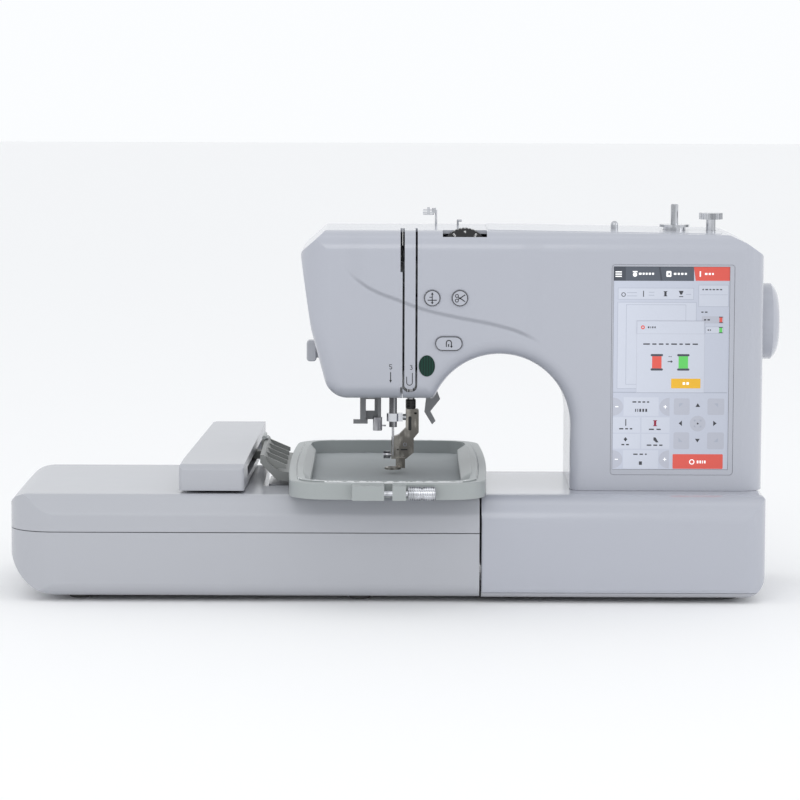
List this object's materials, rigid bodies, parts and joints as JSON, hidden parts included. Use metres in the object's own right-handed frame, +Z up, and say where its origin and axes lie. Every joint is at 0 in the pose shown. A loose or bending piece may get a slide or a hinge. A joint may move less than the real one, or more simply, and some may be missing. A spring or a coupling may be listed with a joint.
{
  "type": "embroidery machine",
  "caption": "Household embroidery machine with a touch display, overhanging needle head, free arm, moving carriage and a clamped fabric hoop",
  "frame": {"origin": "centre of the machine's bounding box on the table it stands on", "axes": "+X to the handwheel side, +Y to the back, +Z up"},
  "size_m": [0.5796, 0.3389, 0.2926],
  "materials": {
    "case_white": "glossy light grey-white shell",
    "case_grey": "moulded grey",
    "hoop_grey": "satin moulded grey",
    "dark_plastic": "black moulded",
    "lens_green": "dark tinted lens",
    "display_glass": "lit display",
    "clear_plastic": "clear cover",
    "chrome": "polished",
    "steel": "ground steel",
    "foot_metal": "cast and plated",
    "cast_alloy": "cast alloy",
    "belt_rubber": "toothed belt",
    "foot_rubber": "grey rubber",
    "board_green": "circuit board",
    "fabric": "woven cotton"
  },
  "bodies": {
    "machine": {"front_cover": "case_white", "rear_cover": "case_white", "face_cover": "case_white", "takeup_strip": "case_white", "top_cover": "case_white", "base_housing": "case_white", "bottom_plate": "case_grey", "free_arm_cover": "case_white", "needle_plate": "steel", "bobbin_cover": "clear_plastic", "bobbin_case": "dark_plastic", "cast_frame": "cast_alloy", "drive_belts": "belt_rubber", "motor": "dark_plastic", "thread_guides": "chrome", "winder_stop": "chrome", "circuit_boards": "board_green", "lamp_lens": "lens_green", "screen_bezel": "case_white", "display_panel": "display_glass", "power_inlet": "dark_plastic", "unit_upper_shell": "case_white", "unit_lower_shell": "case_white", "unit_guide_rods": "steel", "unit_motor": "dark_plastic", "feet": "foot_rubber", "case_screws": "steel"},
    "carriage": {"carriage_housing": "case_white", "carriage_bracket": "case_grey", "carriage_rail": "steel"},
    "hoop": {"hoop_outer": "hoop_grey", "hoop_inner": "hoop_grey", "hooped_fabric": "fabric", "hoop_bracket": "hoop_grey", "hoop_holder": "case_grey"},
    "hoop_screw_body": {"hoop_screw": "chrome"},
    "latch": {"hoop_latch": "chrome"},
    "needle_bar_body": {"needle_bar": "steel", "needle_clamp": "steel", "needle": "chrome"},
    "take_up": {"take_up_lever": "chrome"},
    "presser": {"presser_bar": "steel", "presser_foot": "foot_metal", "presser_foot_screw": "foot_metal"},
    "lifter": {"presser_lifter": "case_grey"},
    "threader": {"threader_bracket": "case_grey", "threader_hook": "dark_plastic", "threader_lever": "case_white"},
    "upper_drive": {"main_shaft": "steel", "handwheel": "case_white"},
    "lower_drive": {"lower_shaft": "steel"},
    "hook": {"rotary_hook": "steel"},
    "motor_drive": {"motor_pulley": "steel"},
    "bobbin_body": {"bobbin": "clear_plastic"},
    "dial": {"tension_dial": "dark_plastic"},
    "winder": {"winder_spindle": "chrome"},
    "needle_key": {"needle_button": "case_white"},
    "trim_key": {"trim_button": "case_white"},
    "start_key": {"start_button": "case_white"},
    "rocker": {"power_switch": "dark_plastic"}
  },
  "joints": [
    {"name": "carriage_x", "type": "slide", "parent": "machine", "child": "carriage", "axis": [1, 0, 0], "range_m": [-0.04, 0.054]},
    {"name": "hoop_y", "type": "slide", "parent": "carriage", "child": "hoop", "axis": [0, 1, 0], "range_m": [-0.104, 0.095]},
    {"name": "hoop_screw_turn", "type": "hinge", "parent": "hoop", "child": "hoop_screw_body", "pos_m": [0.0026, -0.1639, 0.0878], "axis": [1, 0, 0], "continuous": true},
    {"name": "hoop_latch_turn", "type": "hinge", "parent": "hoop", "child": "latch", "pos_m": [-0.104, 0.047, 0.1056], "axis": [0, -1, 0], "range_deg": [0, 60]},
    {"name": "needle_bar_slide", "type": "slide", "parent": "machine", "child": "needle_bar_body", "axis": [0, 0, 1], "range_m": [-0.033, 0], "deforming": ["hooped_fabric"]},
    {"name": "take_up_turn", "type": "hinge", "parent": "machine", "child": "take_up", "pos_m": [0.0056, -0.042, 0.232], "axis": [1, 0, 0], "range_deg": [0, 50]},
    {"name": "presser_slide", "type": "slide", "parent": "machine", "child": "presser", "axis": [0, 0, 1], "range_m": [-0.003, 0.006]},
    {"name": "lifter_turn", "type": "hinge", "parent": "machine", "child": "lifter", "pos_m": [0.0266, -0.015, 0.145], "axis": [0, -1, 0], "range_deg": [-12.1, 24.1]},
    {"name": "threader_slide", "type": "slide", "parent": "machine", "child": "threader", "axis": [0, 0, 1], "range_m": [-0.014, 0]},
    {"name": "handwheel_turn", "type": "hinge", "parent": "machine", "child": "upper_drive", "pos_m": [0.2751, -0.0245, 0.2036], "axis": [1, 0, 0], "continuous": true},
    {"name": "lower_shaft_turn", "type": "hinge", "parent": "machine", "child": "lower_drive", "pos_m": [0.1026, -0.0252, 0.054], "axis": [1, 0, 0], "continuous": true},
    {"name": "hook_turn", "type": "hinge", "parent": "machine", "child": "hook", "pos_m": [-0.003, -0.0405, 0.061], "axis": [0, 0, 1], "continuous": true},
    {"name": "motor_turn", "type": "hinge", "parent": "machine", "child": "motor_drive", "pos_m": [0.2026, -0.0245, 0.128], "axis": [1, 0, 0], "continuous": true},
    {"name": "bobbin_turn", "type": "hinge", "parent": "machine", "child": "bobbin_body", "pos_m": [-0.003, -0.0405, 0.068], "axis": [0, 0, 1], "continuous": true},
    {"name": "tension_dial_turn", "type": "hinge", "parent": "machine", "child": "dial", "pos_m": [0.0504, -0.073, 0.2597], "axis": [0, 1, 0], "range_deg": [-150, 150]},
    {"name": "winder_turn", "type": "hinge", "parent": "machine", "child": "winder", "pos_m": [0.2109, -0.0245, 0.28], "axis": [0, 0, 1], "continuous": true},
    {"name": "needle_button_push", "type": "slide", "parent": "machine", "child": "needle_key", "axis": [0, 1, 0], "range_m": [0, 0.001], "stiffness_N_per_m": 600},
    {"name": "trim_button_push", "type": "slide", "parent": "machine", "child": "trim_key", "axis": [0, 1, 0], "range_m": [0, 0.001], "stiffness_N_per_m": 600},
    {"name": "start_button_push", "type": "slide", "parent": "machine", "child": "start_key", "axis": [0, 1, 0], "range_m": [0, 0.001], "stiffness_N_per_m": 600},
    {"name": "power_switch_rock", "type": "hinge", "parent": "machine", "child": "rocker", "pos_m": [0.2716, -0.02, 0.044], "axis": [0, 1, 0], "range_deg": [0, 9]}
  ],
  "couplings": [
    {"joint": "take_up_turn", "follows": "needle_bar_slide", "rad_per_m": -26.4},
    {"joint": "lifter_turn", "follows": "presser_slide", "rad_per_m": 69.8},
    {"joint": "lower_shaft_turn", "follows": "handwheel_turn", "ratio": 2},
    {"joint": "hook_turn", "follows": "handwheel_turn", "ratio": 1.25},
    {"joint": "motor_turn", "follows": "handwheel_turn", "ratio": 3.5714}
  ]
}
